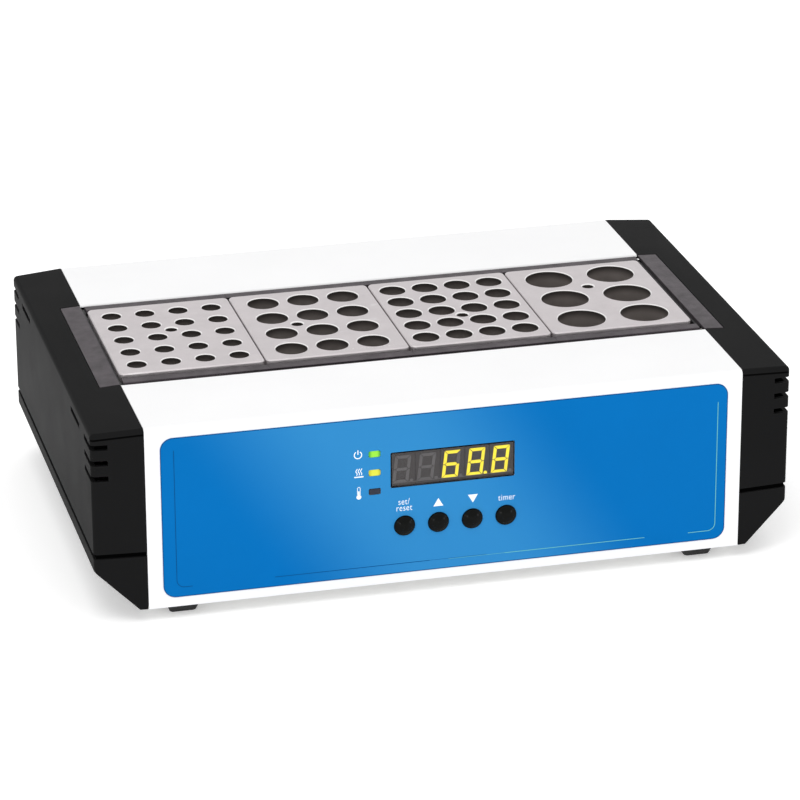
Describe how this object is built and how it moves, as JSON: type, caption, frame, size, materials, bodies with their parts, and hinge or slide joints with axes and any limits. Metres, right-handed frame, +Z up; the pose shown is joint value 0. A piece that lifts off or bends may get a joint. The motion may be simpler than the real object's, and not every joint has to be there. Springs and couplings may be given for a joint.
{
  "type": "dry block heater",
  "caption": "Bench dry block heater: low white case with black end caps, blue control panel with a digit display and push buttons, and lift-out aluminium tube blocks.",
  "frame": {"origin": "on the bench under the middle of the case, level with the underside of the rubber feet", "axes": "+X to the operator's right along the case, +Y from the front panel to the back, +Z up"},
  "size_m": [0.366, 0.2483, 0.1062],
  "materials": {
    "white_paint": "fine satin powder coat",
    "cap_plastic": "fine spark texture",
    "dark_trim": "satin",
    "block_aluminium": "bead blasted",
    "plate_aluminium": "machined",
    "bare_steel": "zinc plated",
    "blue_label": "satin polycarbonate film",
    "smoked_lens": "smoked acrylic",
    "lamp_lens": "diffusing",
    "button_plastic": "smooth moulded",
    "digit_plastic": "diffusing segments",
    "board_green": "solder resist",
    "foot_rubber": "moulded rubber",
    "inlet_plastic": "moulded",
    "brass": "plated",
    "fuse_glass": "glass with metal caps",
    "silicone": "moulded silicone",
    "fibre": "pressed fibre",
    "ceramic": "unglazed ceramic",
    "copper_winding": "wound and taped",
    "core_steel": "laminated",
    "wire_sleeve": "extruded sleeve",
    "terminal_plastic": "moulded"
  },
  "bodies": {
    "chassis": {"base_pan": "bare_steel", "board_pillars": "bare_steel", "capacitors": "inlet_plastic", "case_screws": "bare_steel", "digit_modules": "digit_plastic", "display_board": "board_green", "display_lens": "smoked_lens", "display_studs": "bare_steel", "feet": "foot_rubber", "floor_insulation": "fibre", "foot_screws": "bare_steel", "frame_screws": "bare_steel", "front_cover": "white_paint", "front_rail": "dark_trim", "heater_mat": "silicone", "heater_plate": "plate_aluminium", "heatsink": "plate_aluminium", "indicator_leds": "lamp_lens", "inlet_pins": "brass", "inlet_screws": "bare_steel", "label": "blue_label", "lamp_lenses": "lamp_lens", "left_end_cap_lower": "cap_plastic", "left_end_cap_upper": "cap_plastic", "left_end_plate": "dark_trim", "left_side_plate": "bare_steel", "liner_brackets": "bare_steel", "plate_pillars": "ceramic", "power_board": "board_green", "power_inlet": "inlet_plastic", "rear_cover": "white_paint", "rear_rail": "dark_trim", "ribbon_cable": "wire_sleeve", "right_end_cap_lower": "cap_plastic", "right_end_cap_upper": "cap_plastic", "right_end_plate": "dark_trim", "right_side_plate": "bare_steel", "switch_frame": "inlet_plastic", "tact_switches": "inlet_plastic", "temperature_probe": "bare_steel", "terminal_block": "terminal_plastic", "thermostat": "bare_steel", "transformer_coil": "copper_winding", "transformer_core": "core_steel", "triac": "inlet_plastic", "wall_insulation": "fibre", "well_liner": "bare_steel", "wiring": "wire_sleeve"},
    "block_narrow_body": {"block_narrow": "block_aluminium"},
    "block_wide_body": {"block_wide": "block_aluminium"},
    "block_medium_body": {"block_medium": "block_aluminium"},
    "block_large_body": {"block_large": "block_aluminium"},
    "set_button_body": {"set_button": "button_plastic"},
    "up_button_body": {"up_button": "button_plastic"},
    "down_button_body": {"down_button": "button_plastic"},
    "timer_button_body": {"timer_button": "button_plastic"},
    "rocker_body": {"rocker": "inlet_plastic"},
    "fuse_drawer_body": {"fuse_drawer": "inlet_plastic", "fuses": "fuse_glass"}
  },
  "joints": [
    {"name": "block_narrow_lift", "type": "slide", "parent": "chassis", "child": "block_narrow_body", "axis": [0, 0, 1], "range_m": [0, 0.075]},
    {"name": "block_wide_lift", "type": "slide", "parent": "chassis", "child": "block_wide_body", "axis": [0, 0, 1], "range_m": [0, 0.075]},
    {"name": "block_medium_lift", "type": "slide", "parent": "chassis", "child": "block_medium_body", "axis": [0, 0, 1], "range_m": [0, 0.075]},
    {"name": "block_large_lift", "type": "slide", "parent": "chassis", "child": "block_large_body", "axis": [0, 0, 1], "range_m": [0, 0.075]},
    {"name": "set_button_press", "type": "slide", "parent": "chassis", "child": "set_button_body", "axis": [0, 1, 0], "range_m": [0, 0.0008], "stiffness_N_per_m": 1200, "springref_m": -0.0006},
    {"name": "up_button_press", "type": "slide", "parent": "chassis", "child": "up_button_body", "axis": [0, 1, 0], "range_m": [0, 0.0008], "stiffness_N_per_m": 1200, "springref_m": -0.0006},
    {"name": "down_button_press", "type": "slide", "parent": "chassis", "child": "down_button_body", "axis": [0, 1, 0], "range_m": [0, 0.0008], "stiffness_N_per_m": 1200, "springref_m": -0.0006},
    {"name": "timer_button_press", "type": "slide", "parent": "chassis", "child": "timer_button_body", "axis": [0, 1, 0], "range_m": [0, 0.0008], "stiffness_N_per_m": 1200, "springref_m": -0.0006},
    {"name": "mains_rocker", "type": "hinge", "parent": "chassis", "child": "rocker_body", "pos_m": [0.052, 0.1177, 0.058], "axis": [1, 0, 0], "range_deg": [0, 16]},
    {"name": "fuse_drawer_slide", "type": "slide", "parent": "chassis", "child": "fuse_drawer_body", "axis": [0, 1, 0], "range_m": [0, 0.022]}
  ]
}
